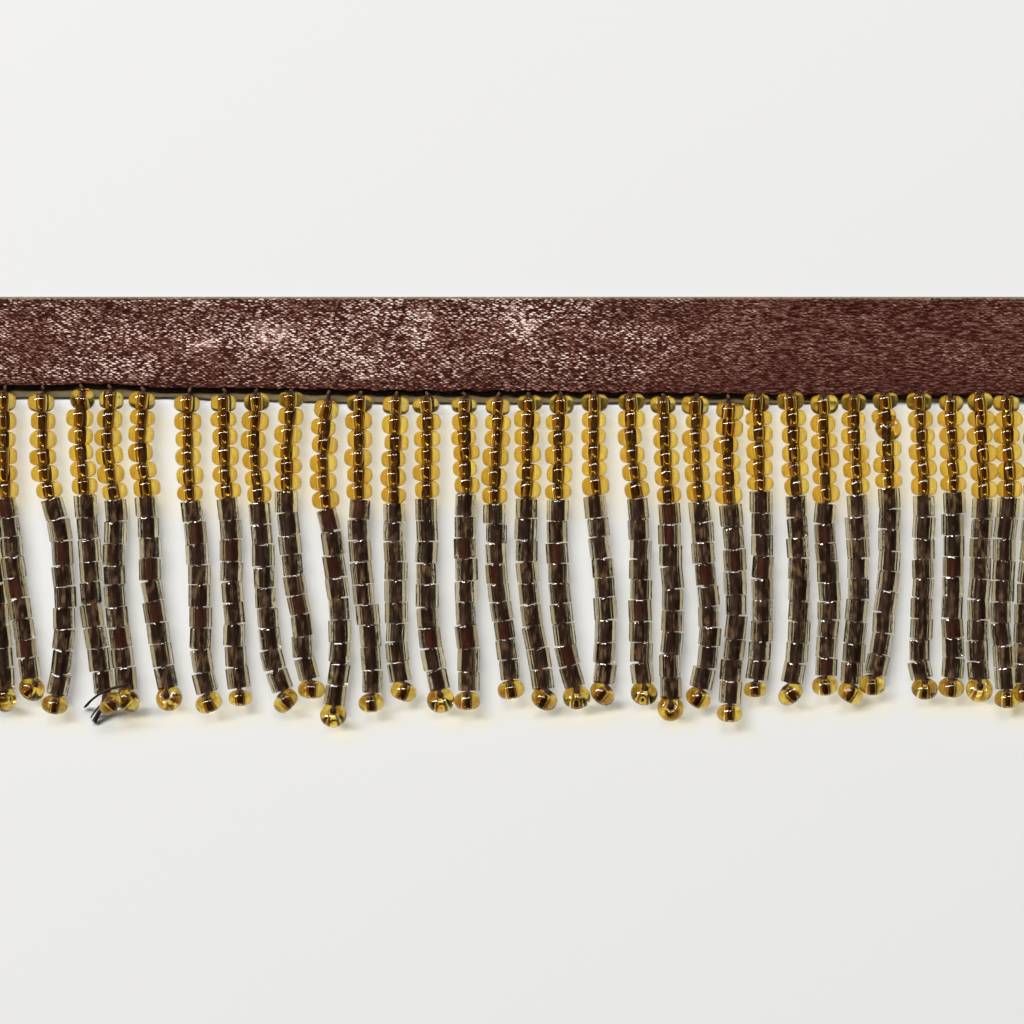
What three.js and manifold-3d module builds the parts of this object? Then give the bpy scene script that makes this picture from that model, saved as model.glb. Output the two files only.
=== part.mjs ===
// Beaded fringe trim: a cut length of satin ribbon with a bead fringe sewn under its lower edge.
// Millimetres, +Z up. The trim lies flat on z = 0 with the ribbon's length along X,
// the ribbon towards +Y and the fringe towards -Y. The origin is in the ribbon's flat underside,
// on the ribbon's centre line, halfway along the cut.
import * as THREE from "three";
import Module from "manifold-3d";

// The cut
const LENGTH = 116;

// Ribbon
const RIBBON_TOP_EDGE = 5;
const RIBBON_THICK = 1;
const RAMP_START = -1.5;
const RAMP_END = -2.8;
const RIBBON_LIFT = 1.1;
const RIBBON_STEP = 4.64;
// How far the lower edge hangs along the cut, which is lifted where two strands crowd together
const LOWER_EDGE_COLUMNS = ["x", "y"];
const LOWER_EDGE = [
  [-58, -4.4],
  [-49, -4.35],
  [-45, -3.95],
  [-41, -3.95],
  [-37, -4.35],
  [-26, -4.35],
  [-18, -4.65],
  [58, -4.65],
];

// Header strip that the strands are sewn to, under the ribbon's lower edge
const HEADER_BACK = -3.1;
const HEADER_INSET = 0.2;
const HEADER_THICK = 0.8;

// Strand of beads: round ones, then cut ones, then one that the thread turns round
const ROUND_BEADS = 6;
const CUT_BEADS = 9;
const ROUND_RADIUS = 1.4;
const ROUND_NECK = 0.85;
const ROUND_SHOULDER = 0.28;
const CUT_START_RADIUS = 1.04;
const CUT_END_RADIUS = 1.2;
const CUT_SEAM = 0.12;
const TURN_RADIUS = 1.25;
const TURN_NECK = 0.7;
const TURN_SHOULDER = 0.5;
const TURN_HALF = 1;
const ROOT_BACK = -3.5;
const ROOT_HALF = 0.5;
const ROOT_LOW = 0.15;
const ROOT_HIGH = 0.65;
const ROOT_REACH = 0.12;
// Distance to either side of a ring over which the strand's direction is taken
const RUN_SPAN = 0.2;

// The heights down the fringe at which each strand's side position is given
const STATIONS = [-5.7, -10.5, -15.7, -19.4, -24.2, -28.9, -33.1];
// Each row is a strand: where its first bead starts, where the cut beads start, its x at each
// station, and the middle of its turn bead
const STRAND_COLUMNS = [
  "start", "join", "x0", "x1", "x2", "x3", "x4", "x5", "x6", "turn_x", "turn_y",
];
const STRANDS = [
  [-5.2, -16.0, -56.5, -56.6, -56.5, -55.9, -55.2, -54.4, -53.8, -53.5, -37.2],
  [-4.9, -16.1, -53.4, -53.4, -53.3, -52.9, -52.3, -51.6, -51.0, -50.8, -36.1],
  [-5.1, -16.1, -49.4, -49.3, -48.7, -47.7, -47.2, -47.1, -47.4, -48.1, -37.8],
  [-4.9, -15.7, -45.4, -45.7, -45.1, -44.7, -44.5, -44.2, -43.6, -43.3, -37.4],
  [-4.8, -16.2, -42.3, -42.5, -41.9, -41.6, -41.8, -41.4, -40.8, -40.4, -37.4],
  [-4.9, -15.9, -38.8, -39.0, -38.5, -38.2, -38.1, -37.4, -36.8, -36.1, -37.1],
  [-5.3, -16.4, -34.0, -34.1, -33.9, -33.3, -32.9, -32.8, -32.7, -31.9, -37.6],
  [-5.2, -16.1, -30.2, -30.3, -30.0, -29.6, -29.5, -29.3, -29.1, -28.6, -37.1],
  [-5.0, -16.6, -27.0, -27.1, -26.7, -26.4, -26.1, -25.7, -25.2, -24.3, -37.5],
  [-4.9, -15.3, -23.2, -23.6, -23.7, -23.5, -23.0, -22.2, -21.8, -21.3, -36.2],
  [-5.8, -17.2, -19.4, -19.8, -19.7, -19.1, -18.5, -18.1, -18.2, -18.7, -38.9],
  [-5.2, -16.2, -16.0, -16.1, -16.1, -16.1, -15.8, -15.2, -14.8, -14.8, -37.6],
  [-5.4, -16.6, -12.2, -12.3, -12.4, -12.4, -12.3, -12.1, -12.0, -11.5, -36.4],
  [-5.5, -16.1, -8.9, -8.9, -9.0, -9.0, -9.0, -8.8, -8.3, -7.6, -37.3],
  [-5.6, -15.6, -4.9, -4.9, -4.8, -4.9, -4.9, -4.8, -4.6, -4.7, -37.4],
  [-5.6, -16.7, -1.5, -1.6, -1.8, -1.7, -1.6, -1.0, -0.3, -0.1, -36.2],
  [-5.3, -16.1, 1.8, 1.7, 1.5, 1.4, 1.6, 2.1, 2.8, 3.3, -37.3],
  [-5.2, -16.2, 5.1, 4.9, 4.8, 4.7, 4.9, 5.3, 5.9, 6.6, -37.0],
  [-5.1, -15.8, 8.7, 8.6, 8.8, 9.1, 9.6, 9.8, 9.8, 9.6, -36.6],
  [-5.1, -16.1, 12.4, 12.6, 13.1, 13.4, 13.5, 13.6, 13.6, 13.9, -36.6],
  [-5.4, -16.6, 16.0, 16.1, 16.4, 16.6, 16.8, 16.9, 16.7, 16.8, -38.2],
  [-5.4, -16.4, 19.4, 19.4, 19.7, 20.0, 20.4, 20.8, 20.5, 19.9, -37.1],
  [-6.1, -16.7, 22.8, 22.7, 22.9, 23.2, 23.5, 23.6, 23.2, 22.8, -38.7],
  [-5.1, -15.3, 25.9, 26.0, 26.2, 26.4, 26.4, 26.3, 26.0, 25.7, -36.2],
  [-5.0, -15.8, 29.4, 29.6, 29.9, 30.1, 30.2, 30.2, 29.9, 29.4, -36.6],
  [-5.2, -16.6, 32.8, 32.8, 33.0, 32.9, 33.3, 33.4, 33.1, 32.8, -35.8],
  [-5.1, -15.7, 36.0, 36.1, 36.3, 36.4, 36.5, 36.3, 35.9, 35.6, -36.6],
  [-5.0, -15.0, 39.2, 39.5, 39.7, 39.7, 39.6, 39.1, 38.6, 38.5, -35.7],
  [-5.0, -15.8, 42.9, 43.1, 43.4, 43.4, 43.3, 43.1, 42.9, 43.3, -36.1],
  [-5.3, -15.4, 46.1, 46.3, 46.5, 46.5, 46.4, 46.3, 46.4, 46.2, -36.0],
  [-5.0, -16.1, 49.2, 49.4, 49.6, 49.4, 49.2, 49.0, 49.1, 49.2, -36.2],
  [-5.3, -16.0, 52.4, 52.5, 52.7, 52.3, 51.9, 51.7, 51.9, 52.1, -37.2],
  [-5.2, -16.2, 55.5, 55.7, 55.9, 55.3, 54.9, 54.7, 54.9, 55.0, -36.6],
];

const wasm = await Module();
wasm.setup();

const SATIN = new THREE.MeshStandardMaterial({ color: 0x4b2823, roughness: 0.35, metalness: 0 });
const AMBER_GLASS = new THREE.MeshStandardMaterial({ color: 0xc89628, roughness: 0.1, metalness: 0 });

// Table helpers
function column(names, name) {
  return names.indexOf(name);
}

function mix(a, b, share) {
  return a + (b - a) * share;
}

// Reads y at x from rows that run in order of x, on straight lines between them
function alongTable(names, rows, x) {
  const at = column(names, "x");
  const value = column(names, "y");
  const next = Math.max(1, rows.findIndex((row) => row[at] >= x));
  const [before, after] = [rows[next - 1], rows[next]];
  return mix(before[value], after[value], (x - before[at]) / (after[at] - before[at]));
}

// Closed body through sections of one number of corners. Each section is an array of Vector3, and
// outline gives the same corners flat, for the two end faces.
function loft(sections, outline) {
  const corners = outline.length;
  const positions = sections.flat().flatMap((point) => point.toArray());
  const index = [];
  for (let s = 0; s < sections.length - 1; s += 1) {
    for (let c = 0; c < corners; c += 1) {
      const here = s * corners + c;
      const beside = s * corners + ((c + 1) % corners);
      index.push(here, beside, here + corners, beside, beside + corners, here + corners);
    }
  }
  const last = (sections.length - 1) * corners;
  for (const [a, b, c] of THREE.ShapeUtils.triangulateShape(outline, [])) {
    index.push(a, c, b);
    index.push(last + a, last + b, last + c);
  }
  const geometry = new THREE.BufferGeometry();
  geometry.setAttribute("position", new THREE.Float32BufferAttribute(positions, 3));
  geometry.setIndex(index);
  return geometry;
}

// Joins closed geometries into one body
function union(geometries) {
  const solids = geometries.map((geometry) => {
    const vertProperties = new Float32Array(geometry.getAttribute("position").array);
    const triVerts = new Uint32Array(geometry.getIndex().array);
    return new wasm.Manifold(new wasm.Mesh({ numProp: 3, vertProperties, triVerts }));
  });
  const mesh = solids.reduce((whole, solid) => whole.add(solid)).getMesh();
  const geometry = new THREE.BufferGeometry();
  geometry.setAttribute("position", new THREE.Float32BufferAttribute(mesh.vertProperties, mesh.numProp));
  geometry.setIndex(Array.from(mesh.triVerts));
  return geometry;
}

// Stations along the cut at which the ribbon and the header strip follow the lower edge
function cutStations() {
  const steps = Math.round(LENGTH / RIBBON_STEP);
  return Array.from({ length: steps + 1 }, (_, step) => mix(-LENGTH / 2, LENGTH / 2, step / steps));
}

// Ribbon: flat on the surface, then up a short ramp and over the header strip
function ribbonOutline(x) {
  const edge = alongTable(LOWER_EDGE_COLUMNS, LOWER_EDGE, x);
  const underside = [
    [RIBBON_TOP_EDGE, 0],
    [RAMP_START, 0],
    [RAMP_END, RIBBON_LIFT],
    [edge, RIBBON_LIFT],
  ];
  const face = underside.map(([y, z]) => [y, z + RIBBON_THICK]).reverse();
  return [...underside, ...face].reverse().map(([y, z]) => new THREE.Vector2(y, z));
}

function ribbonGeometry() {
  const sections = cutStations().map((x) => (
    ribbonOutline(x).map((corner) => new THREE.Vector3(x, corner.x, corner.y))
  ));
  return loft(sections, ribbonOutline(0));
}

// Header strip, which ends a little behind the ribbon's lower edge
function headerOutline(x) {
  const front = alongTable(LOWER_EDGE_COLUMNS, LOWER_EDGE, x) + HEADER_INSET;
  return [
    new THREE.Vector2(front, 0),
    new THREE.Vector2(HEADER_BACK, 0),
    new THREE.Vector2(HEADER_BACK, HEADER_THICK),
    new THREE.Vector2(front, HEADER_THICK),
  ];
}

function headerGeometry() {
  const sections = cutStations().map((x) => (
    headerOutline(x).map((corner) => new THREE.Vector3(x, corner.x, corner.y))
  ));
  return loft(sections, headerOutline(0));
}

// Points in plan that a strand runs through, from its root to past its turn bead
function strandCurve(row) {
  const value = (name) => row[column(STRAND_COLUMNS, name)];
  const points = STATIONS.map((y, station) => new THREE.Vector2(value(`x${station}`), y));
  points.unshift(new THREE.Vector2(value("x0"), ROOT_BACK));
  points.push(new THREE.Vector2(value("turn_x"), value("turn_y")));
  points.push(new THREE.Vector2(value("turn_x"), value("turn_y") - TURN_HALF * 2));
  return points;
}

// Side position of a strand at y, on a smooth curve through its points
function sideAt(points, y) {
  const next = Math.max(1, points.findIndex((point) => point.y <= y));
  const before = points[next - 1];
  const after = points[next];
  const slopeAt = (k) => {
    const a = points[Math.max(0, k - 1)];
    const b = points[Math.min(points.length - 1, k + 1)];
    return (b.x - a.x) / (b.y - a.y);
  };
  const span = after.y - before.y;
  const t = (y - before.y) / span;
  const t2 = t * t;
  const t3 = t2 * t;
  return (2 * t3 - 3 * t2 + 1) * before.x + (t3 - 2 * t2 + t) * span * slopeAt(next - 1)
    + (3 * t2 - 2 * t3) * after.x + (t3 - t2) * span * slopeAt(next);
}

// Each ring is a place down the strand, a half width and its lowest and highest z
function beadRing(y, radius, middle) {
  return { y, half: radius, low: middle - radius, high: middle + radius };
}

function strandRings(row) {
  const value = (name) => row[column(STRAND_COLUMNS, name)];
  const start = value("start");
  const join = value("join");
  const end = value("turn_y") + TURN_HALF;
  const rings = [ROOT_BACK, start + ROOT_REACH].map((y) => (
    { y, half: ROOT_HALF, low: ROOT_LOW, high: ROOT_HIGH }
  ));
  for (let bead = 0; bead < ROUND_BEADS; bead += 1) {
    const at = (share) => mix(start, join, (bead + share) / ROUND_BEADS);
    rings.push(beadRing(at(0), ROUND_NECK, ROUND_RADIUS));
    rings.push(beadRing(at(ROUND_SHOULDER), ROUND_RADIUS, ROUND_RADIUS));
    rings.push(beadRing(at(1 - ROUND_SHOULDER), ROUND_RADIUS, ROUND_RADIUS));
  }
  for (let bead = 0; bead < CUT_BEADS; bead += 1) {
    const at = (share) => mix(join, end, (bead + share) / CUT_BEADS);
    rings.push(beadRing(at(0) - CUT_SEAM / 2, CUT_START_RADIUS, CUT_START_RADIUS));
    rings.push(beadRing(at(1) + CUT_SEAM / 2, CUT_END_RADIUS, CUT_END_RADIUS));
  }
  const turn = value("turn_y");
  rings.push(beadRing(end - CUT_SEAM, TURN_NECK, TURN_RADIUS));
  rings.push(beadRing(turn + TURN_SHOULDER, TURN_RADIUS, TURN_RADIUS));
  rings.push(beadRing(turn - TURN_SHOULDER, TURN_RADIUS, TURN_RADIUS));
  rings.push(beadRing(turn - TURN_HALF, TURN_NECK, TURN_RADIUS));
  return rings;
}

// Four-sided strand: its rings stand square to the way that it runs
function strandGeometry(row) {
  const points = strandCurve(row);
  const sections = strandRings(row).map((ring) => {
    const x = sideAt(points, ring.y);
    const drift = sideAt(points, ring.y + RUN_SPAN) - sideAt(points, ring.y - RUN_SPAN);
    const run = new THREE.Vector2(drift, 2 * RUN_SPAN).normalize();
    const corner = (side, z) => (
      new THREE.Vector3(x + side * ring.half * run.y, ring.y - side * ring.half * run.x, z)
    );
    return [corner(-1, ring.low), corner(1, ring.low), corner(1, ring.high), corner(-1, ring.high)];
  });
  const square = [[-1, -1], [1, -1], [1, 1], [-1, 1]].map(([x, y]) => new THREE.Vector2(x, y));
  return loft(sections, square);
}

function named(name, geometry, material) {
  const mesh = new THREE.Mesh(geometry, material);
  mesh.name = name;
  return mesh;
}

const trim = new THREE.Group();
trim.add(named("ribbon", ribbonGeometry(), SATIN));
trim.add(named("fringe", union([headerGeometry(), ...STRANDS.map(strandGeometry)]), AMBER_GLASS));

export default trim;
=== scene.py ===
import math
import random
from collections import namedtuple

import bpy
import numpy as np
from mathutils import Matrix, Vector


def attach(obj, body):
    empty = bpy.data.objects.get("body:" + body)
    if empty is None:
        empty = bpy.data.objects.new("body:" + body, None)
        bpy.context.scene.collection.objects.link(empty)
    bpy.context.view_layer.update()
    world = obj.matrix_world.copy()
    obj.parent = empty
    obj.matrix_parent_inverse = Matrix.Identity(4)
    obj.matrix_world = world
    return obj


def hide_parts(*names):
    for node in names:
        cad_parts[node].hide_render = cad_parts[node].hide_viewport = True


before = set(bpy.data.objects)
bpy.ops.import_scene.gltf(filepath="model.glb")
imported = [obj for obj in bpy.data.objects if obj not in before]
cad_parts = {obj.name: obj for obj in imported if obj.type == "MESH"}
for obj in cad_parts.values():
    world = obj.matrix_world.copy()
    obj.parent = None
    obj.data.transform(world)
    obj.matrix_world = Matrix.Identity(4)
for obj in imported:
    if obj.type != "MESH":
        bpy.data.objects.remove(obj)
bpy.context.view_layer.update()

# The trim's lengths are millimetres, and MM turns them into metres. The stage's are metres
MM = 0.001
SEED = 41

# The cut and its beads, as in the CAD source
HALF_LENGTH = 58
ROUND_BEADS = 6
CUT_BEADS = 9
ROUND_RADIUS = 1.4
CUT_RADIUS = 1.2
ROOT_BACK = -3.5
# How far a turn bead's middle is from the last cut bead, and how high the thread ends there
TURN_REACH = 1
TURN_HEIGHT = 1.25

# The y of each station down the fringe at which the strands' side positions are given
STATIONS = [-5.7, -10.5, -15.7, -19.4, -24.2, -28.9, -33.1]
# Each row is a strand: where its first bead starts, where the cut beads start, its x at each
# station, and the middle of its turn bead
STRAND_ROWS = [
    [-5.2, -16.0, -56.2, -56.0, -55.6, -55.2, -54.5, -54.0, -53.6, -53.3, -37.2],
    [-4.9, -16.1, -53.4, -53.4, -53.3, -52.9, -52.3, -51.6, -51.0, -50.5, -36.1],
    [-5.1, -16.1, -49.4, -49.3, -48.7, -47.7, -47.2, -47.1, -47.4, -48.1, -37.8],
    [-4.9, -15.7, -45.3, -45.3, -45.0, -44.6, -44.4, -44.1, -43.4, -42.8, -37.6],
    [-4.8, -16.2, -42.3, -42.6, -41.9, -41.7, -41.9, -41.5, -40.9, -40.4, -37.3],
    [-4.9, -15.9, -38.8, -39.0, -38.5, -38.2, -38.1, -37.4, -36.8, -36.1, -37.1],
    [-5.3, -16.4, -34.0, -34.1, -33.9, -33.3, -32.9, -32.8, -32.7, -31.9, -37.6],
    [-5.2, -16.1, -30.2, -30.3, -30.0, -29.6, -29.5, -29.3, -29.1, -28.6, -37.1],
    [-5.0, -16.6, -27.0, -27.1, -26.7, -26.4, -26.1, -25.7, -25.2, -23.8, -37.4],
    [-4.9, -15.3, -23.2, -23.6, -23.7, -23.5, -23.0, -22.2, -21.8, -21.1, -36.2],
    [-5.8, -17.2, -19.4, -19.8, -19.7, -19.1, -18.5, -18.1, -18.2, -18.8, -38.9],
    [-5.2, -16.2, -16.0, -16.1, -16.1, -16.1, -15.8, -15.2, -14.8, -14.8, -37.6],
    [-5.4, -16.6, -12.2, -12.3, -12.4, -12.4, -12.3, -12.1, -12.0, -11.4, -36.4],
    [-5.5, -16.1, -8.9, -8.9, -9.0, -9.0, -9.0, -8.8, -8.3, -7.5, -37.3],
    [-5.6, -15.6, -4.9, -4.9, -4.8, -4.9, -4.9, -4.8, -4.6, -4.7, -37.4],
    [-5.6, -16.7, -1.5, -1.6, -1.8, -1.7, -1.6, -1.0, -0.3, -0.1, -36.2],
    [-5.3, -16.1, 1.8, 1.7, 1.5, 1.4, 1.6, 2.1, 2.8, 3.4, -37.2],
    [-5.2, -16.2, 5.1, 4.9, 4.8, 4.7, 4.9, 5.3, 5.9, 6.8, -37.0],
    [-5.1, -15.8, 8.7, 8.6, 8.8, 9.1, 9.6, 9.8, 9.8, 9.5, -36.6],
    [-5.1, -16.1, 12.4, 12.6, 13.1, 13.4, 13.5, 13.6, 13.6, 13.9, -36.6],
    [-5.4, -16.6, 16.0, 16.1, 16.4, 16.6, 16.8, 16.9, 16.7, 16.7, -38.2],
    [-5.4, -16.4, 19.4, 19.4, 19.7, 20.0, 20.4, 20.8, 20.5, 19.6, -37.1],
    [-6.1, -16.7, 22.8, 22.7, 22.9, 23.2, 23.5, 23.6, 23.2, 22.9, -38.7],
    [-5.1, -15.3, 25.9, 26.0, 26.2, 26.4, 26.4, 26.3, 26.0, 25.6, -36.2],
    [-5.0, -15.8, 29.4, 29.6, 29.9, 30.1, 30.2, 30.2, 29.9, 29.3, -36.6],
    [-5.2, -16.6, 32.8, 32.8, 33.0, 32.9, 33.3, 33.4, 33.1, 32.9, -35.8],
    [-5.1, -15.7, 36.0, 36.1, 36.3, 36.4, 36.5, 36.3, 35.9, 35.6, -36.6],
    [-5.0, -15.0, 39.2, 39.5, 39.7, 39.7, 39.6, 39.1, 38.6, 37.9, -35.7],
    [-5.0, -15.8, 42.9, 43.1, 43.4, 43.4, 43.3, 43.1, 42.9, 43.4, -36.1],
    [-5.3, -15.4, 46.1, 46.3, 46.5, 46.5, 46.4, 46.3, 46.4, 46.2, -36.0],
    [-5.0, -16.1, 49.2, 49.4, 49.6, 49.4, 49.2, 49.0, 49.1, 49.2, -36.2],
    [-5.3, -16.0, 52.1, 52.2, 52.3, 52.0, 51.7, 51.5, 51.8, 52.1, -37.2],
    [-5.2, -16.2, 55.2, 55.2, 55.1, 54.8, 54.4, 54.1, 53.9, 53.9, -36.6],
]
Strand = namedtuple("Strand", "start join sides turn_x turn_y")
STRANDS = [Strand(row[0], row[1], row[2:9], row[9], row[10]) for row in STRAND_ROWS]

# The way that each turn bead's hole points: its heading from +X and its rise, in degrees
TURN_AIM = [
    (0, 20), (45, 30), (80, 10), (140, 15), (35, 20), (135, 60), (110, 15), (90, 5), (135, 10),
    (88, 5), (90, 50), (95, 12), (70, 8), (95, 45), (90, 5), (100, 10), (60, 20), (90, 35),
    (45, 20), (80, 40), (90, 70), (60, 15), (88, 5), (92, 5), (135, 10), (95, 15), (60, 10),
    (90, 20), (90, 30), (85, 15), (90, 60), (90, 8), (90, 10),
]
# Turn beads that are smaller or larger than the rest
TURN_SIZE = {7: 0.88, 13: 1.06, 17: 1.06, 23: 0.86}
# Turn beads that lie on a neighbour: how far to the side they are, and how much higher
TURN_SHIFT = {3: (0.75, 1.05)}

# Lower end of the ribbon along the cut: x, the y where its face turns under, the y of its edge
RIBBON_EDGE = [
    (-58, -4.05, -4.35), (-49, -4.1, -4.35), (-45, -3.9, -4.25), (-41, -3.95, -4.3),
    (-38, -4.3, -4.6), (-26, -4.35, -4.7), (-18, -4.5, -4.95), (0, -4.6, -5.1),
    (10, -4.75, -5.15), (20, -4.9, -5.3), (30, -4.95, -5.4), (45, -4.95, -5.45), (58, -5.0, -5.5),
]
# Lower edge of the header tape along the cut: x, y
TAPE_EDGE = [
    (-58, -5.35), (-36, -5.35), (-33, -5.42), (-31.5, -5.58), (-24, -5.7), (-17, -5.88), (0, -5.95),
    (14, -5.9), (25, -6.0), (34, -5.85), (41, -5.7), (45, -5.6), (58, -5.4),
]
RIBBON_TOP = 5.2
RIBBON_THICKNESS = 0.22
# Height of the ribbon's face at its top edge, how much higher it lies over the strands' roots, and
# how far its lower edge curls down from there
RIBBON_LIE = 0.33
RIBBON_RISE = 0.6
RIBBON_CURL = 0.35

# How much of its length of strand a bead takes up
BEAD_FIT = 0.99
# How far out of line and how many degrees askew the beads are strung
ROUND_SLIP = 0.18
ROUND_LEAN = 5
CUT_SLIP = 0.09
CUT_LEAN = 3.5
# Radius of the holes of the round beads and of the turn beads, and half a turn bead's height
ROUND_HOLE = 0.41
TURN_HOLE = 0.42
TURN_HALF_HEIGHT = 0.88
# How far a strand's first bead is lifted, and how much its hole tips up from this strand on
FIRST_LIFT = 0.32
FIRST_TIP = math.tan(math.radians(12))
TIPPED_FROM = 16
# First beads and others that sit apart from their strand's line: strand and place in it, then the
# centre, the hole's heading from +X and its rise
ASIDE = {
    (3, 0): ((-45.15, -5.65), 80, 42),
    (10, 0): ((-19.5, -6.75), 75, 18),
    (27, 2): ((39.6, -8.7), 60, 55),
}
# Radius of the thread in each kind of bead, and the height at which it runs through
THREAD_IN = {"round": (0.35, ROUND_RADIUS), "cut": (0.3, CUT_RADIUS)}
# Each bundle of thread ends by the fourth strand's turn bead: where it starts, bends and ends
TAILS = [
    ((-40.2, -35.6, 3.1), (-43.2, -36.0, 3.4), (-45.0, -38.0, 0.3)),
    ((-41.6, -36.9, 1.5), (-43.2, -37.6, 1.3), (-44.2, -39.5, 0.25)),
]


# Tables and curves
def along(rows, x, column):
    """The value in that column at x, on straight lines between the rows."""
    return float(np.interp(x, [row[0] for row in rows], [row[column] for row in rows]))


def mix(a, b, share):
    return a + (b - a) * share


def ease(share):
    share = min(1.0, max(0.0, share))
    return share * share * (3 - 2 * share)


def strand_points(strand):
    """Points in plan that a strand runs through, from its root to past its turn bead."""
    root = (strand.sides[0], ROOT_BACK)
    turn = (strand.turn_x, strand.turn_y)
    past = (strand.turn_x, strand.turn_y - TURN_REACH * 2)
    return [root, *zip(strand.sides, STATIONS), turn, past]


def side_at(points, y):
    """Side position of a strand at y, on a smooth curve through its points."""
    last = len(points) - 1
    after = max(1, next((k for k, point in enumerate(points) if point[1] <= y), last))

    def slope(k):
        a = points[max(0, k - 1)]
        b = points[min(last, k + 1)]
        return (b[0] - a[0]) / (b[1] - a[1])

    (x0, y0), (x1, y1) = points[after - 1], points[after]
    span = y1 - y0
    t = (y - y0) / span
    t2 = t * t
    t3 = t2 * t
    return ((2 * t3 - 3 * t2 + 1) * x0 + (t3 - 2 * t2 + t) * span * slope(after - 1)
            + (3 * t2 - 2 * t3) * x1 + (t3 - t2) * span * slope(after))


def run_at(points, y):
    """Direction of a strand at y, down the fringe."""
    reach = 0.4
    drift = side_at(points, y - reach) - side_at(points, y + reach)
    return Vector((drift, -2 * reach, 0)).normalized()


# Mesh building
class Piece:
    """Collects the faces of one piece, in millimetres, with a material and a tone for each."""

    def __init__(self, name, materials):
        self.name = name
        self.materials = materials
        self.points = []
        self.faces = []
        self.slots = []
        self.tones = []

    def add(self, points, faces, slots=0, tone=0.0):
        first = len(self.points)
        self.points.extend(tuple(point) for point in points)
        self.faces.extend([first + corner for corner in face] for face in faces)
        self.slots.extend(slots if hasattr(slots, "__len__") else [slots] * len(faces))
        self.tones.extend([tone] * len(points))

    def make(self, smooth=True):
        mesh = bpy.data.meshes.new(self.name)
        mesh.from_pydata([tuple(c * MM for c in point) for point in self.points], [], self.faces)
        for material in self.materials:
            mesh.materials.append(material)
        mesh.polygons.foreach_set("material_index", self.slots)
        mesh.polygons.foreach_set("use_smooth", [smooth] * len(self.faces))
        tones = mesh.attributes.new("tone", "FLOAT", "POINT")
        tones.data.foreach_set("value", self.tones)
        mesh.validate()
        mesh.update()
        made = bpy.data.objects.new(self.name, mesh)
        bpy.context.scene.collection.objects.link(made)
        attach(made, "root")
        return made


def ring_faces(rings, count, closed=False, flip=False):
    """Faces from each ring of count points to the next, then from the last to the first if closed,
    or else over both ends. flip is for rings that run the other way round."""
    faces = []
    for ring in range(rings if closed else rings - 1):
        here = ring * count
        there = (ring + 1) % rings * count
        for k in range(count):
            after = (k + 1) % count
            if flip:
                faces.append((here + k, there + k, there + after, here + after))
            else:
                faces.append((here + k, here + after, there + after, there + k))
    if not closed:
        first = tuple(range(count))
        last = tuple(range((rings - 1) * count, rings * count))
        faces += [first, last[::-1]] if flip else [first[::-1], last]
    return faces


def revolved(profile, segments):
    """Closed ring through a closed profile of (radius, height) points, round the Z axis."""
    points = []
    for step in range(segments):
        turn = 2 * math.pi * step / segments
        points.extend((r * math.cos(turn), r * math.sin(turn), z) for r, z in profile)
    return points, ring_faces(segments, len(profile), closed=True, flip=True)


def tube(path, radii, sides):
    """Closed tube along a path of Vectors, with its ends filled."""
    points = []
    for k, centre in enumerate(path):
        run = (path[min(k + 1, len(path) - 1)] - path[max(k - 1, 0)]).normalized()
        across = run.cross(Vector((0, 0, 1)))
        if across.length < 0.01:
            across = run.cross(Vector((0, 1, 0)))
        across.normalize()
        up = across.cross(run)
        for side in range(sides):
            turn = 2 * math.pi * side / sides
            points.append(centre + radii[k] * (math.cos(turn) * across + math.sin(turn) * up))
    return points, ring_faces(len(path), sides)


def placed(points, centre, axis, spin):
    """Points built round the Z axis, turned by spin, and set at centre with that axis."""
    turn = Vector((0, 0, 1)).rotation_difference(axis).to_matrix() @ Matrix.Rotation(spin, 3, "Z")
    return [centre + turn @ Vector(point) for point in points]


def grounded(points):
    """The points, raised where some of them would touch the paper or lie below it."""
    clearance = 0.01
    lift = max(0.0, clearance - min(point.z for point in points))
    return [point + Vector((0, 0, lift)) for point in points]


def tilted(axis, amount, rng):
    """The axis with a random lean of up to about that many degrees."""
    lean = Vector([rng.uniform(-1, 1) for _ in range(3)])
    return (axis + lean * math.radians(amount)).normalized()


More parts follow.
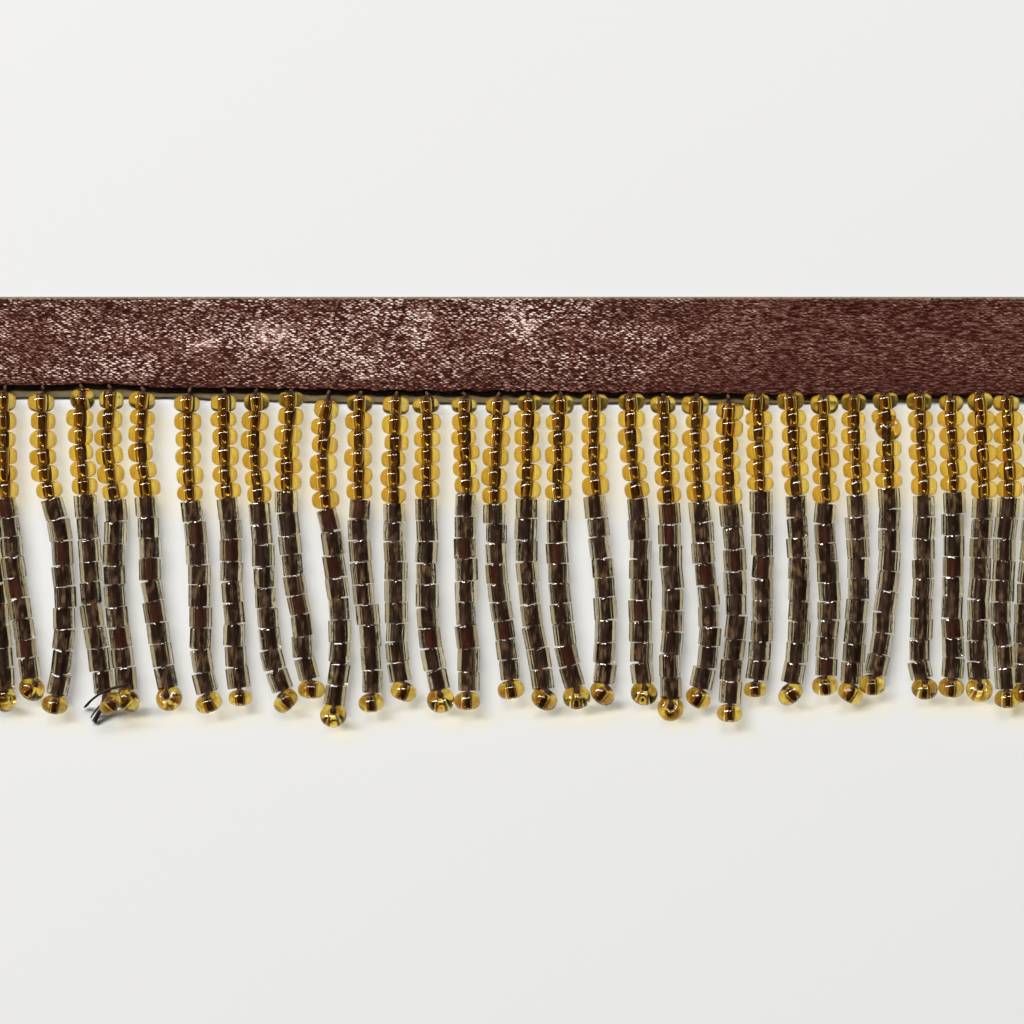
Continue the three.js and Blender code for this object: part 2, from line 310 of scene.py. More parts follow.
# Node helpers
class Nodes:
    """A new material's nodes, made and linked in short calls."""

    def __init__(self, name):
        self.material = bpy.data.materials.new(name)
        self.material.use_nodes = True
        self.tree = self.material.node_tree
        self.tree.nodes.clear()

    def new(self, kind, inputs=None, **settings):
        node = self.tree.nodes.new(kind)
        for key, value in settings.items():
            setattr(node, key, value)
        for key, value in (inputs or {}).items():
            self.feed(node.inputs[key], value)
        return node

    def feed(self, socket, value):
        if isinstance(value, bpy.types.NodeSocket):
            self.tree.links.new(value, socket)
        else:
            socket.default_value = value

    def math(self, operation, a, b=0.0, c=0.0):
        return self.new("ShaderNodeMath", {0: a, 1: b, 2: c}, operation=operation).outputs[0]

    def ramp(self, value, low, high, bottom=0.0, top=1.0):
        """A smooth step: bottom where the value is low, and top where it is high."""
        inputs = {
            "Value": value, "From Min": low, "From Max": high, "To Min": bottom, "To Max": top,
        }
        return self.new("ShaderNodeMapRange", inputs, interpolation_type="SMOOTHSTEP").outputs[0]

    def blend(self, share, a, b):
        """Colour a where the share is 0, and colour b where it is 1."""
        node = self.new("ShaderNodeMix", data_type="RGBA")
        self.feed(node.inputs[0], share)
        self.feed(node.inputs[6], a)
        self.feed(node.inputs[7], b)
        return node.outputs[2]

    def mixed(self, share, a, b):
        """Shader a where the share is 0, and shader b where it is 1."""
        return self.new("ShaderNodeMixShader", {0: share, 1: a, 2: b}).outputs[0]

    def split(self, vector):
        return self.new("ShaderNodeSeparateXYZ", {0: vector}).outputs

    def place(self):
        """The surface's own position, in millimetres."""
        spot = self.new("ShaderNodeTexCoord").outputs["Object"]
        inputs = {0: spot, "Scale": 1 / MM}
        return self.new("ShaderNodeVectorMath", inputs, operation="SCALE").outputs[0]

    def noise(self, vector, scale, detail=2.0, rough=0.5):
        inputs = {"Vector": vector, "Scale": scale, "Detail": detail, "Roughness": rough}
        return self.new("ShaderNodeTexNoise", inputs).outputs[0]

    def stretched(self, vector, x, y, z=1.0):
        inputs = {0: vector, 1: (x, y, z)}
        return self.new("ShaderNodeVectorMath", inputs, operation="MULTIPLY").outputs[0]

    def tone(self):
        """The bead's own random number."""
        return self.new("ShaderNodeAttribute", attribute_name="tone").outputs["Fac"]

    def bump(self, height, strength, distance):
        inputs = {"Height": height, "Strength": strength, "Distance": distance * MM}
        return self.new("ShaderNodeBump", inputs).outputs[0]

    def principled(self, inputs):
        return self.new("ShaderNodeBsdfPrincipled", inputs).outputs[0]

    def finish(self, shader):
        self.new("ShaderNodeOutputMaterial", {"Surface": shader})
        return self.material


def lets_lamps_through(n, shader, tint):
    """The shader to the eye, and tinted clear to the light that falls on what lies behind it."""
    path = n.new("ShaderNodeLightPath")
    clear = n.new("ShaderNodeBsdfTransparent", {"Color": tint}).outputs[0]
    straight = n.math("MULTIPLY", path.outputs["Is Diffuse Ray"], STRAIGHT_SHARE)
    falling = n.math("MAXIMUM", path.outputs["Is Shadow Ray"], straight)
    return n.mixed(falling, shader, clear)


# Materials
# What each wall of glass lets through of the light that falls on what lies behind it
AMBER_TINT = (0.995, 0.972, 0.895, 1)
CLEAR_TINT = (0.96, 0.955, 0.937, 1)
# How much of the light that surfaces throw on each other goes straight through the glass, unbent
STRAIGHT_SHARE = 0.9
# How much of the amber glass's look at its sides is light scattered inside it
MILK_SHARE = 0.2
# How uneven the glass of the round beads and the turn beads is
ROUND_RIPPLE = 0.12
TURN_RIPPLE = 0.5


def outward(n):
    """How far the surface faces +X, how far +Y, and how far up or down."""
    geometry = n.new("ShaderNodeNewGeometry")
    parts = n.split(geometry.outputs["Normal"])
    outside = n.math("MULTIPLY_ADD", geometry.outputs["Backfacing"], -2.0, 1.0)
    rightward = n.math("MULTIPLY", parts[0], outside)
    upward = n.math("MULTIPLY", parts[1], outside)
    return rightward, upward, n.math("ABSOLUTE", parts[2])


def amber(n, colour, ripple):
    """Clear amber, and a little milky at the left and right, where the glass is thickest; the milk
    is painted shade to the left and painted light to the right.
    """
    milk_painted_shade, milk_painted_light = (0.66, 0.4, 0.04, 1), (1.0, 0.82, 0.2, 1)
    clear = n.principled({
        "Base Color": colour, "Roughness": 0.03, "IOR": 1.52, "Transmission Weight": 1.0,
        "Normal": n.bump(n.noise(n.place(), 2.2, 2), ripple, 0.06),
    })
    rightward = outward(n)[0]
    # Painted shade and light: the milk is darker to the left and brighter to the right
    milk_light_and_shade = n.blend(n.ramp(rightward, -0.8, 0.8), milk_painted_shade, milk_painted_light)
    milk = n.new("ShaderNodeBsdfDiffuse", {"Color": milk_light_and_shade}).outputs[0]
    share = n.ramp(n.math("ABSOLUTE", rightward), 0.45, 0.85, 0, MILK_SHARE)
    return n.mixed(share, clear, milk)


def amber_colour(n):
    """Painted shade, deeper to the left and round the rim, painted light, bright yellow to the
    right, and some darker streaks.
    """
    pale, deep = (1.0, 0.76, 0.12, 1), (0.72, 0.42, 0.035, 1)
    painted_light_yellow, painted_shade_ochre = (1.0, 0.92, 0.36, 1), (0.58, 0.33, 0.03, 1)
    painted_rim_shade, streak_brown = (0.33, 0.14, 0.006, 1), (0.6, 0.32, 0.02, 1)
    rightward, _, level = outward(n)
    shade = n.blend(n.tone(), pale, deep)
    # Painted light to the right, and painted shade to the left and round the rim
    shade = n.blend(n.ramp(rightward, 0.1, 0.8, 0, 0.85), shade, painted_light_yellow)
    shade = n.blend(n.ramp(rightward, -0.8, -0.1, 0.6, 0), shade, painted_shade_ochre)
    shade = n.blend(n.ramp(level, 0.12, 0.74, 0.95, 0), shade, painted_rim_shade)
    streak = n.noise(n.stretched(n.place(), 3.2, 0.7), 1.0, 2)
    return n.blend(n.ramp(streak, 0.5, 0.66, 0, 0.6), shade, streak_brown)


def amber_glass():
    n = Nodes("amber_glass")
    glass = amber(n, amber_colour(n), ROUND_RIPPLE)
    return n.finish(lets_lamps_through(n, glass, AMBER_TINT))


def turn_glass():
    """The same glass seen end on or askew, with darker and brighter swirls of painted shade and
    light, painted light to the lower right, and painted shade to the upper left and round the rim.
    """
    swirl_shade, swirl_light = (0.36, 0.15, 0.01, 1), (1.0, 0.8, 0.14, 1)
    painted_light_yellow, brown, painted_rim_shade = (1.0, 0.8, 0.26, 1), (0.45, 0.2, 0.015, 1), (0.3, 0.13, 0.008, 1)
    n = Nodes("turn_glass")
    rightward, upward, level = outward(n)
    swirl = n.noise(n.place(), 0.8, 3)
    shade = n.blend(n.ramp(swirl, 0.44, 0.58), swirl_shade, swirl_light)
    # Painted light to the lower right, painted shade to the upper left and round the rim
    facing_lit_lower_right = n.math("SUBTRACT", rightward, upward)
    shade = n.blend(n.ramp(facing_lit_lower_right, 0.2, 1.0, 0, 0.8), shade, painted_light_yellow)
    shade = n.blend(n.ramp(facing_lit_lower_right, -1.2, -0.3, 0.6, 0), shade, brown)
    shade = n.blend(n.ramp(level, 0.0, 0.4, 0.9, 0), shade, painted_rim_shade)
    return n.finish(lets_lamps_through(n, amber(n, shade, TURN_RIPPLE), AMBER_TINT))


def bead_throat():
    """The wall of a round bead's hole: clear above the thread, diffuse brown beside it, and a line
    of painted light, diffuse yellow, down its right side and down some left sides."""
    brown, painted_light_yellow = (0.34, 0.16, 0.045, 1), (1.0, 1.0, 0.75, 1)
    n = Nodes("bead_throat")
    inward = outward(n)[0]
    # Painted light: a bright yellow line down the right side of the hole, and down the left side in
    # some beads
    right = n.math("SUBTRACT", 1.0, n.ramp(inward, -0.93, -0.84))
    left = n.math("MULTIPLY", n.ramp(inward, 0.86, 0.95), n.ramp(n.tone(), 0.4, 0.6))
    shade = n.blend(n.math("ADD", right, left), brown, painted_light_yellow)
    lit = n.new("ShaderNodeBsdfDiffuse", {"Color": shade}).outputs[0]
    through = n.new("ShaderNodeBsdfTranslucent", {"Color": shade}).outputs[0]
    diffuse_wall = n.mixed(0.4, lit, through)
    beside = n.ramp(n.math("ABSOLUTE", inward), 0.5, 0.65)
    wall = n.mixed(beside, amber(n, amber_colour(n), ROUND_RIPPLE), diffuse_wall)
    return n.finish(lets_lamps_through(n, wall, AMBER_TINT))


def cut_glass():
    """Clear glass with a tinge of straw, deeper in some beads, and painted light, paler, to the
    right.
    """
    pale, deep, lit = (0.8, 0.71, 0.49, 1), (0.5, 0.4, 0.22, 1), (1.0, 0.92, 0.66, 1)
    n = Nodes("cut_glass")
    shade = n.blend(n.tone(), pale, deep)
    # Painted light: paler where the surface faces right
    shade = n.blend(n.ramp(outward(n)[0], 0.2, 0.9, 0, 0.75), shade, lit)
    glass = n.principled({
        "Base Color": shade, "Roughness": 0.05, "IOR": 1.5, "Transmission Weight": 1.0,
        "Normal": n.bump(n.noise(n.stretched(n.place(), 1.6, 0.8), 1.6, 3), 0.8, 0.08),
    })
    return n.finish(lets_lamps_through(n, glass, CLEAR_TINT))


def bead_lining():
    """Dark brown with lighter lengthways streaks, partly the lining's own mottling and partly
    painted reflection, stronger in some beads, and dark red in a few.
    """
    ground, red = (0.014, 0.0045, 0.003, 1), (0.045, 0.011, 0.008, 1)
    faint, strong = (0.085, 0.04, 0.026, 1), (0.2, 0.125, 0.085, 1)
    n = Nodes("bead_lining")
    tone = n.tone()
    # The lighter streaks are partly painted reflection
    streaks = n.ramp(n.noise(n.stretched(n.place(), 3.4, 0.8), 1.0, 3), 0.46, 0.74)
    plain = n.blend(streaks, ground, n.blend(n.ramp(tone, 0.0, 0.7), faint, strong))
    colour = n.blend(n.ramp(tone, 0.89, 0.9, 0, 0.85), plain, red)
    inputs = {"Base Color": colour, "Roughness": 0.4, "Specular IOR Level": 0.3}
    return n.finish(n.principled(inputs))


def brown_thread():
    """Thread with the lay of its fibres, and a lighter brown where it is a stitch."""
    dark, light = (0.014, 0.005, 0.0035, 1), (0.06, 0.023, 0.016, 1)
    stitch_brown = (0.13, 0.065, 0.036, 1)
    n = Nodes("brown_thread")
    lay = n.noise(n.stretched(n.place(), 6, 2.5, 6), 1.0, 3, 0.7)
    colour = n.blend(n.tone(), n.blend(n.ramp(lay, 0.35, 0.7), dark, light), stitch_brown)
    inputs = {
        "Base Color": colour, "Roughness": 0.75, "Specular IOR Level": 0.2,
        "Normal": n.bump(lay, 0.6, 0.06),
    }
    return n.finish(n.principled(inputs))


def taupe_tape():
    dark, light = (0.12, 0.086, 0.04, 1), (0.19, 0.145, 0.075, 1)
    n = Nodes("taupe_tape")
    weave = n.noise(n.stretched(n.place(), 2.0, 5.0), 1.6, 3, 0.6)
    colour = n.blend(n.ramp(weave, 0.35, 0.7), dark, light)
    inputs = {"Base Color": colour, "Roughness": 0.85, "Normal": n.bump(weave, 0.5, 0.05)}
    return n.finish(n.principled(inputs))


def float_lattice(n, x, y, pitch, stagger, fill):
    """Woven floats in staggered rows, each a little out of place, with painted sheen as bright as
    chance has it.
    pitch is their spacing along the rows and across them. As shares of the first, stagger is each
    row's shift from the one before, and fill is half the length of the shortest float."""
    length, height = pitch
    row_place = n.math("DIVIDE", y, height)
    row = n.math("FLOOR", row_place)
    shift = n.math("MULTIPLY", row, stagger)
    column_place = n.math("ADD", n.math("DIVIDE", x, length), shift)
    column = n.math("FLOOR", column_place)
    cell = n.new("ShaderNodeCombineXYZ", {0: column, 1: row}).outputs[0]
    chance = n.new("ShaderNodeTexWhiteNoise", {"Vector": cell}, noise_dimensions="2D").outputs[1]
    draws = n.split(chance)
    slip = n.math("MULTIPLY_ADD", draws[0], 0.36, -0.68)
    from_middle = n.math("ABSOLUTE", n.math("ADD", n.math("FRACT", column_place), slip))
    rise = n.math("MULTIPLY_ADD", draws[1], 0.3, -0.65)
    from_line = n.math("ABSOLUTE", n.math("ADD", n.math("FRACT", row_place), rise))
    reach = n.math("MULTIPLY_ADD", draws[2], 0.12, fill)
    lengthways = n.ramp(n.math("DIVIDE", from_middle, reach), 0.35, 1.1, 1, 0)
    body = n.math("MULTIPLY", lengthways, n.ramp(from_line, 0.1, 0.5, 1, 0))
    # The third draw's later digits serve as a fourth
    redraw = n.math("FRACT", n.math("MULTIPLY", draws[2], 7.31))
    return n.math("MULTIPLY", body, n.ramp(redraw, 0.15, 1.0))


# The middle of each painted highlight, a glow on the satin, and how far it reaches along the ribbon
# and across it
GLOWS = [
    ((-25.2, 1.2), (4.8, 2.5)), ((-9.6, 1.9), (2.6, 3.4)), ((-33.5, 0.2), (3.6, 1.6)),
    ((-15.9, -1.6), (1.9, 1.0)), ((-15.2, -3.3), (1.6, 0.8)), ((0.8, 2.4), (3.4, 2.0)),
]


def glow(n, x, y, middle, reach):
    """A soft patch that is 1 at its middle and 0 at its reach."""
    across = n.math("DIVIDE", n.math("SUBTRACT", x, middle[0]), reach[0])
    down = n.math("DIVIDE", n.math("SUBTRACT", y, middle[1]), reach[1])
    squares = n.math("ADD", n.math("MULTIPLY", across, across), n.math("MULTIPLY", down, down))
    return n.ramp(n.math("SQRT", squares), 0.0, 1.0, 1.0, 0.0)


def satin_light(n, place, x, y):
    """Painted sheen: how strongly the satin's floats shine, less at the far left, to the right and
    near the lower edge, and the painted haze over them in the glows.
    """
    patches = n.ramp(n.noise(n.stretched(place, 0.13, 0.22), 1.0, 3), 0.33, 0.68, 0.55, 1.15)
    right_half = n.ramp(x, 3.0, 27.0, 1.28, 0.42)
    left_end = n.ramp(x, -54.0, -34.0, 0.78, 1.0)
    # Painted shade: the floats are dimmer near the ribbon's lower edge
    lower_edge = n.ramp(y, -4.4, -2.8, 0.5, 1.0)
    level = n.math("MULTIPLY", n.math("MULTIPLY", patches, right_half), left_end)
    cloud = n.ramp(n.noise(n.stretched(place, 0.7, 1.4), 1.0, 4, 0.6), 0.42, 0.6, 0.02, 0.4)
    haze = 0.0
    # Painted highlights: each glow brightens the floats and lays a haze over them
    for middle, reach in GLOWS:
        shine = glow(n, x, y, middle, reach)
        level = n.math("MULTIPLY_ADD", shine, 0.85, level)
        haze = n.math("MULTIPLY_ADD", shine, cloud, haze)
    return n.math("MULTIPLY", level, lower_edge), haze


# The satin's colours, from unlit thread to the brightest painted sheen on a float
SATIN_STOPS = [
    (0.0, (0.022, 0.0045, 0.003, 1)), (0.12, (0.058, 0.014, 0.009, 1)),
    (0.32, (0.175, 0.08, 0.062, 1)), (0.62, (0.43, 0.26, 0.215, 1)), (1.0, (0.85, 0.73, 0.67, 1)),
]


def satin_colour(n, lit):
    ramp = n.new("ShaderNodeValToRGB", {0: lit})
    elements = ramp.color_ramp.elements
    while len(elements) < len(SATIN_STOPS):
        elements.new(0.5)
    for element, (at, colour) in zip(elements, SATIN_STOPS):
        element.position = at
        element.color = colour
    return ramp.outputs[0]


def brown_satin():
    """Short floats with painted sheen on dark brown, long bright streaks to the right, partly
    uneven weave and partly painted sheen, a frayed taupe edge at the top, and painted shadow,
    nearly black, where the ribbon turns under."""
    frayed_taupe, shadow = (0.2, 0.175, 0.115, 1), (0.006, 0.0025, 0.002, 1)
    n = Nodes("brown_satin")
    place = n.place()
    spot = n.split(place)
    x, y = spot[0], spot[1]
    wander = n.new("ShaderNodeTexNoise", {"Vector": place, "Scale": 1.3, "Detail": 3.0}).outputs[1]
    drift = n.split(wander)
    wx = n.math("MULTIPLY_ADD", n.math("SUBTRACT", drift[0], 0.5), 0.5, x)
    wy = n.math("MULTIPLY_ADD", n.math("SUBTRACT", drift[1], 0.5), 0.28, y)
    main = float_lattice(n, wx, wy, (0.68, 0.18), 0.43, 0.3)
    fine = float_lattice(n, wx, n.math("ADD", wy, 0.1), (0.5, 0.15), 0.37, 0.25)
    floats = n.math("ADD", main, n.math("MULTIPLY", fine, 0.6))
    level, haze = satin_light(n, place, x, y)
    lit = n.math("MULTIPLY", n.math("MULTIPLY", floats, 0.88), level)
    streak = n.ramp(n.noise(n.stretched(place, 1.0, 7.5), 1.0, 4, 0.65), 0.42, 0.7)
    streak = n.math("MULTIPLY", streak, n.ramp(x, 12.0, 24.0, 0.22, 0.36))
    lit = n.math("ADD", n.math("ADD", streak, haze), lit)
    frayed = n.math("MULTIPLY_ADD", n.noise(n.stretched(place, 2.4, 1.2), 1.0, 3), 0.5, y)
    colour = n.blend(n.ramp(frayed, 5.12, 5.34, 0, 0.85), satin_colour(n, lit), frayed_taupe)
    # Painted shadow: nearly black where the surface faces down the picture, under the ribbon's
    # curled edge
    colour = n.blend(n.ramp(outward(n)[1], -0.5, -0.15, 0.92, 0), colour, shadow)
    inputs = {
        "Base Color": colour, "Roughness": 0.6, "Specular IOR Level": 0.04,
        "Normal": n.bump(main, 0.3, 0.04),
    }
    return n.finish(n.principled(inputs))


# Bead shapes
def round_bead(radius, half, square, hole):
    """Ring-shaped glass bead round the Z axis, with its hole's wall in slot 1. square is 2 for a
    round side and more for a flatter one."""
    segments, steps, reach = 24, 10, 80
    belly = half * 0.98
    profile = []
    for step in range(steps + 1):
        turn = math.radians(mix(-reach, reach, step / steps))
        out = abs(math.cos(turn)) ** (2 / square)
        up = math.copysign(abs(math.sin(turn)) ** (2 / square), turn)
        profile.append((radius - belly + belly * out, half * up))
    rim = (hole + 0.08, half * 0.96)
    throat = (hole, half * 0.84)
    profile += [rim, throat, (throat[0], -throat[1]), (rim[0], -rim[1])]
    points, faces = revolved(profile, segments)
    wall = len(profile) - 3
    slots = [1 if k % len(profile) == wall else 0 for k in range(len(faces))]
    return points, faces, slots


def broken_end(outline, hole, half, sign, rng):
    """The rings of a cut bead's end, from its hole to its side, with chips of random depth."""
    slant = rng.uniform(0, 0.05)
    heading = rng.uniform(0, 2 * math.pi)
    rim, edge, shoulder, wall = [], [], [], []
    for px, py in outline:
        turn = math.atan2(py, px)
        chip = rng.uniform(0, 1) ** 3
        inset = 0.93 - 0.05 * chip
        depth = 0.03 + 0.09 * chip
        top = sign * (half - 0.01 + slant * math.cos(turn - heading) - 0.05 * chip)
        rim.append((hole * math.cos(turn), hole * math.sin(turn), top - sign * 0.06))
        edge.append((px * inset, py * inset, top))
        shoulder.append((px * 0.97, py * 0.97, top - sign * depth * 0.5))
        wall.append((px, py, top - sign * (depth * 0.5 + 0.09)))
    return [rim, edge, shoulder, wall]


def cut_bead(half, rng):
    """Six-sided cut bead round the Z axis with broken ends, and its hole's lining in slot 1."""
    sides, rounding = 6, 0.15
    corner = CUT_RADIUS * rng.uniform(0.93, 1.03)
    hole = rng.uniform(0.47, 0.54)
    outline = []
    for k in range(sides):
        middle = math.pi / 3 * k
        for turn in (middle - rounding, middle + rounding):
            out = corner * rng.uniform(0.95, 1.03)
            outline.append((out * math.cos(turn), out * math.sin(turn)))
    rings = broken_end(outline, hole, half, -1, rng)
    rings += broken_end(outline, hole, half, 1, rng)[::-1]
    points = [point for ring in rings for point in ring]
    count = len(outline)
    faces = ring_faces(len(rings), count, closed=True)
    slots = [0] * (len(faces) - count) + [1] * count
    return points, faces, slots


def aimed(heading, rise):
    """Unit direction from its heading from +X and its rise, in degrees."""
    heading, rise = math.radians(heading), math.radians(rise)
    level = math.cos(rise)
    return Vector((level * math.cos(heading), level * math.sin(heading), math.sin(rise)))


# Pieces
def bead_centres(index):
    """The kind of each bead down a strand, its y and half its height."""
    strand = STRANDS[index]
    rng = random.Random(SEED * 100 + index)
    runs = [
        ("round", ROUND_BEADS, strand.start, strand.join, 0.13),
        ("cut", CUT_BEADS, strand.join, strand.turn_y + TURN_REACH, 0.09),
    ]
    found = []
    for kind, count, top, bottom, spread in runs:
        shares = [1 + rng.uniform(-spread, spread) for _ in range(count)]
        edges = [top + (bottom - top) * sum(shares[:k]) / sum(shares) for k in range(count + 1)]
        for a, b in zip(edges, edges[1:]):
            found.append((kind, (a + b) / 2, (a - b) / 2))
    return found


def strung(points, y, height, slip, lean, rng):
    """Middle and axis of a bead at y on its strand, a little out of line and askew."""
    centre = Vector((side_at(points, y) + rng.uniform(-slip, slip), y, height))
    return centre, tilted(-run_at(points, y), lean, rng)


def make_round_beads(glass, throat):
    rng = random.Random(SEED)
    piece = Piece("round_beads", [glass, throat])
    for index, strand in enumerate(STRANDS):
        points = strand_points(strand)
        for k, (kind, y, half) in enumerate(bead_centres(index)):
            if kind != "round":
                continue
            radius = ROUND_RADIUS * rng.uniform(0.92, 1.06)
            square = rng.uniform(2.1, 2.8)
            bead, faces, slots = round_bead(radius, half * BEAD_FIT, square, ROUND_HOLE)
            centre, axis = strung(points, y, radius, ROUND_SLIP, ROUND_LEAN, rng)
            if k == 0:
                centre.z += FIRST_LIFT
                if index >= TIPPED_FROM:
                    axis = (axis + Vector((0, 0, FIRST_TIP))).normalized()
            if (index, k) in ASIDE:
                (centre.x, centre.y), heading, rise = ASIDE[index, k]
                axis = aimed(heading, rise)
            solid = grounded(placed(bead, centre, axis, rng.uniform(0, 1)))
            piece.add(solid, faces, slots, rng.random())
    return piece.make()


def turn_bead(index):
    """Middle, axis, radius and half height of a strand's turn bead, which rests on the paper."""
    strand = STRANDS[index]
    size = TURN_SIZE.get(index, 1.0)
    radius, half = ROUND_RADIUS * size, TURN_HALF_HEIGHT * size
    heading, rise = TURN_AIM[index]
    low = radius * math.cos(math.radians(rise)) + half * math.sin(math.radians(rise)) * 0.7
    side, lift = TURN_SHIFT.get(index, (0, 0))
    centre = Vector((strand.turn_x + side, strand.turn_y, low + lift))
    return centre, aimed(heading, rise), radius, half


def make_turn_beads(glass, throat):
    rng = random.Random(SEED + 1)
    piece = Piece("turn_beads", [glass, throat])
    for index in range(len(STRANDS)):
        centre, axis, radius, half = turn_bead(index)
        radius *= rng.uniform(0.97, 1.03)
        bead, faces, slots = round_bead(radius, half, rng.uniform(2.0, 2.3), TURN_HOLE)
        solid = grounded(placed(bead, centre, axis, rng.uniform(0, 1)))
        piece.add(solid, faces, slots, rng.uniform(0.3, 1.3))
    return piece.make()


def make_cut_beads(glass, lining):
    rng = random.Random(SEED + 2)
    piece = Piece("cut_beads", [glass, lining])
    for index, strand in enumerate(STRANDS):
        points = strand_points(strand)
        for kind, y, half in bead_centres(index):
            if kind != "cut":
                continue
            bead, faces, slots = cut_bead(half * BEAD_FIT, rng)
            centre, axis = strung(points, y, CUT_RADIUS, CUT_SLIP, CUT_LEAN, rng)
            solid = grounded(placed(bead, centre, axis, rng.uniform(0, math.pi / 3)))
            piece.add(solid, faces, slots, rng.random())
    return piece.make(smooth=False)


def ribbon_face(x):
    """Points (y, z) of the ribbon's face at x, from its top edge to its lower edge."""
    face_end = along(RIBBON_EDGE, x, 1)
    edge = along(RIBBON_EDGE, x, 2)
    # A strand's root pushes the edge up where it comes out
    nearest = min(abs(x - strand.sides[0]) for strand in STRANDS)
    edge = mix(edge, max(edge, face_end - 0.2), ease(1 - nearest / 1.5))
    steps, curl_steps = 30, 7
    face = []
    for step in range(steps + 1):
        y = mix(RIBBON_TOP, face_end, step / steps)
        face.append((y, RIBBON_LIE + RIBBON_RISE * ease((3.5 - y) / 6.5)))
    top = face[-1][1]
    for step in range(1, curl_steps + 1):
        turn = math.pi / 2 * step / curl_steps
        y = face_end + (edge - face_end) * math.sin(turn)
        face.append((y, top - RIBBON_CURL * (1 - math.cos(turn))))
    return face


def swayed(face, x):
    """The face at x, with the ribbon's slight waves along its middle."""
    wave = 0.06 * math.sin(x * 0.31) + 0.04 * math.sin(x * 0.83 + 1)
    found = []
    for y, z in face:
        place = min(1, max(0, (RIBBON_TOP - y) / 9))
        found.append((y, z + wave * math.sin(math.pi * place)))
    return found


def underside(face):
    """Points of the ribbon's other side, from its lower edge back to its top edge."""
    under = []
    for k, (y, z) in enumerate(face):
        a = face[max(k - 1, 0)]
        b = face[min(k + 1, len(face) - 1)]
        run = Vector((b[0] - a[0], b[1] - a[1])).normalized()
        under.append((y - run.y * RIBBON_THICKNESS, z + run.x * RIBBON_THICKNESS))
    return under[::-1]


def make_ribbon(material):
    piece = Piece("satin_ribbon", [material])
    columns = 330
    points = []
    for column in range(columns + 1):
        x = mix(-HALF_LENGTH, HALF_LENGTH, column / columns)
        face = swayed(ribbon_face(x), x)
        section = face + underside(face)
        points += [(x, y, z) for y, z in section]
    piece.add(points, ring_faces(columns + 1, len(section)))
    return piece.make()


def make_tape(material):
    piece = Piece("header_tape", [material])
    columns = 232
    low, high, back = 0.02, 0.28, -1.2
    points = []
    for column in range(columns + 1):
        x = mix(-HALF_LENGTH, HALF_LENGTH, column / columns)
        front = along(TAPE_EDGE, x, 1) + 0.03 * math.sin(x * 5.1) * math.sin(x * 1.7)
        points += [(x, back, low), (x, front, low), (x, front - 0.02, high), (x, back, high)]
    piece.add(points, ring_faces(columns + 1, 4, flip=True))
    return piece.make(smooth=False)


def bead_thread(index, points, rng):
    """Path and radii of the thread from the ribbon's underside through a strand's beads."""
    strand = STRANDS[index]
    # The y, the height and the radius at each place down the thread
    places = [
        (ROOT_BACK, 0.3, 0.14), (strand.start + 0.5, 0.32, 0.16), (strand.start + 0.1, 1.0, 0.24),
    ]
    for kind, y, half in bead_centres(index):
        radius, height = THREAD_IN[kind]
        for share in (-0.8, 0, 0.8):
            places.append((y - share * half, height, radius * rng.uniform(0.93, 1.05)))
    places.append((strand.turn_y + TURN_REACH * 0.8, TURN_HEIGHT, 0.25))
    path = [Vector((side_at(points, y), y, height)) for y, height, _ in places]
    return path, [radius for _, _, radius in places]


def turn_loop(index, end):
    """Thread that leaves the strand and fills the hole of its turn bead."""
    centre, axis, _, half = turn_bead(index)
    if (end - centre).dot(axis) < 0:
        axis = -axis
    mouth = centre + axis * half
    path = [
        end,
        end.lerp(mouth, 0.5) + Vector((0, 0, 0.15)),
        mouth,
        centre + axis * half * 0.5,
        centre,
        centre - axis * half * 0.4,
        centre - axis * half * 0.7,
    ]
    return tube(path, [0.2, 0.26, 0.3, 0.36, 0.36, 0.36, 0.25], 8)


def stitch(strand, points, rng):
    """Stitch at the ribbon's edge, where a strand's thread comes out."""
    x = side_at(points, strand.start)
    y = max(along(RIBBON_EDGE, strand.sides[0], 2), strand.start + 0.15)
    lean = rng.uniform(-0.2, 0.2)
    path = [
        Vector((x + lean - 0.06, y + 0.15, 0.4)),
        Vector((x + lean - 0.04, y + 0.08, 0.95)),
        Vector((x + lean * 0.6, y - 0.05, 1.12)),
        Vector((x + 0.05, y - 0.2, 1.15)),
        Vector((x, y - 0.28, 0.9)),
    ]
    return tube(path, [0.1, 0.15, 0.18, 0.18, 0.13], 8)


def thread_tails(rng):
    """Frayed brown ends that curl out past the fourth strand's turn bead."""
    ends_in_bundle, steps = 4, 12
    radii = [mix(0.13, 0.08, step / steps) for step in range(steps + 1)]
    tails = []
    for start, bend, end in TAILS:
        for _ in range(ends_in_bundle):
            spread = Vector((rng.uniform(-1, 1), rng.uniform(-1, 1), 0))
            a = Vector(start) + spread * 0.12
            b = Vector(bend) + spread * 0.15
            c = Vector(end) + spread * 0.3
            path = []
            for step in range(steps + 1):
                t = step / steps
                path.append(a * (1 - t) ** 2 + b * 2 * t * (1 - t) + c * t * t)
            tails.append(tube(path, radii, 6))
    return tails


def make_threads(material):
    rng = random.Random(SEED + 3)
    piece = Piece("threads", [material])
    for index, strand in enumerate(STRANDS):
        points = strand_points(strand)
        path, radii = bead_thread(index, points, rng)
        piece.add(*tube(path, radii, 8))
        piece.add(*turn_loop(index, path[-1]))
        piece.add(*stitch(strand, points, rng), 0, rng.uniform(0.3, 1.0))
    for tail in thread_tails(rng):
        piece.add(*tail)
    return piece.make()


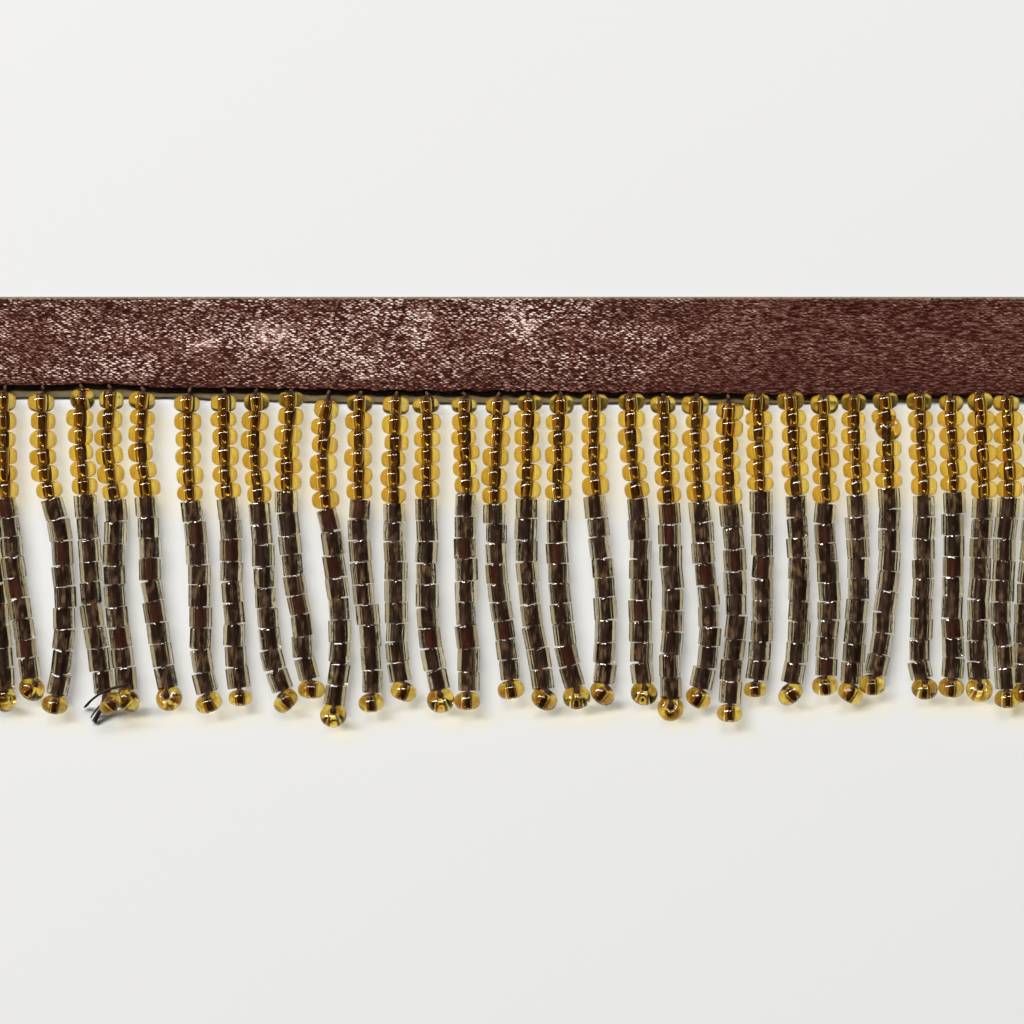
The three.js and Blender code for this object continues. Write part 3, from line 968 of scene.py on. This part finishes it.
# Stage
# Each half of the lamp: its name, its middle, its width and its power
LAMP_HALVES = [
    ("strip_left", (-2.1, 1.66, 1.84), 2.3, 137),
    ("strip_right", (0.05, 1.82, 1.68), 2.0, 45),
]
LAMP_HEIGHT = 0.32
LAMP_TURN = (math.radians(-46), 0, math.radians(4))
LAMP_COLOUR = (1.0, 0.99, 0.97)
# The room's light overhead, low in front and low to the right: the axis of the direction, the range
# over which the light changes, and the light at both ends of it
ROOM = [
    (2, (0.55, 0.9), (0.36, 0.14)),
    (1, (-0.55, -0.15), (0.27, 0)),
    (0, (0.5, 0.9), (0, 1.2)),
]


def make_floor():
    """A sheet of pale paper, larger than the picture."""
    side, paper = 1.5, (0.765, 0.768, 0.77, 1)
    n = Nodes("pale_floor")
    material = n.finish(n.principled({"Base Color": paper, "Roughness": 0.9}))
    corners = [(-side, -side, 0), (side, -side, 0), (side, side, 0), (-side, side, 0)]
    mesh = bpy.data.meshes.new("floor")
    mesh.from_pydata(corners, [], [(0, 1, 2, 3)])
    mesh.materials.append(material)
    floor = bpy.data.objects.new("floor", mesh)
    bpy.context.scene.collection.objects.link(floor)


def make_lamp():
    """A long thin lamp, high up behind the ribbon's side of the trim."""
    for name, middle, width, power in LAMP_HALVES:
        light = bpy.data.lights.new(name, "AREA")
        light.shape = "RECTANGLE"
        light.size = width
        light.size_y = LAMP_HEIGHT
        light.energy = power
        light.color = LAMP_COLOUR
        made = bpy.data.objects.new(name, light)
        made.location = middle
        made.rotation_mode = "ZYX"
        made.rotation_euler = LAMP_TURN
        made.visible_camera = False
        bpy.context.scene.collection.objects.link(made)


def make_room():
    """The pale room round the paper, which is darker overhead."""
    world = bpy.data.worlds.new("studio")
    world.use_nodes = True
    tree = world.node_tree
    spot = tree.nodes.new("ShaderNodeTexCoord")
    parts = tree.nodes.new("ShaderNodeSeparateXYZ")
    tree.links.new(spot.outputs["Generated"], parts.inputs[0])
    total = tree.nodes["Background"].inputs[1]
    for axis, (start, end), (first, last) in ROOM:
        share = tree.nodes.new("ShaderNodeMapRange")
        tree.links.new(parts.outputs[axis], share.inputs["Value"])
        inputs = {"From Min": start, "From Max": end, "To Min": first, "To Max": last}
        for name, value in inputs.items():
            share.inputs[name].default_value = value
        add = tree.nodes.new("ShaderNodeMath")
        add.inputs[1].default_value = 0
        tree.links.new(share.outputs[0], add.inputs[0])
        tree.links.new(add.outputs[0], total)
        total = add.inputs[1]
    bpy.context.scene.world = world


def make_camera():
    """A long lens straight above the trim, with +Y up in the picture."""
    camera = bpy.data.cameras.new("camera")
    camera.lens = 100
    camera.sensor_width = 36
    camera.clip_start = 0.01
    made = bpy.data.objects.new("camera", camera)
    made.location = (0, -0.01753, 0.3007)
    bpy.context.scene.collection.objects.link(made)
    bpy.context.scene.camera = made
    bpy.context.scene.view_settings.view_transform = "Standard"


make_camera()
throat = bead_throat()
round_beads = make_round_beads(amber_glass(), throat)
turn_beads = make_turn_beads(turn_glass(), throat)
thread = brown_thread()
cut_beads = make_cut_beads(cut_glass(), bead_lining())
threads = make_threads(thread)
tape = make_tape(taupe_tape())
ribbon = make_ribbon(brown_satin())
make_floor()
make_lamp()
make_room()

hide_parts("ribbon")
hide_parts("fringe")
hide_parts("fringe")
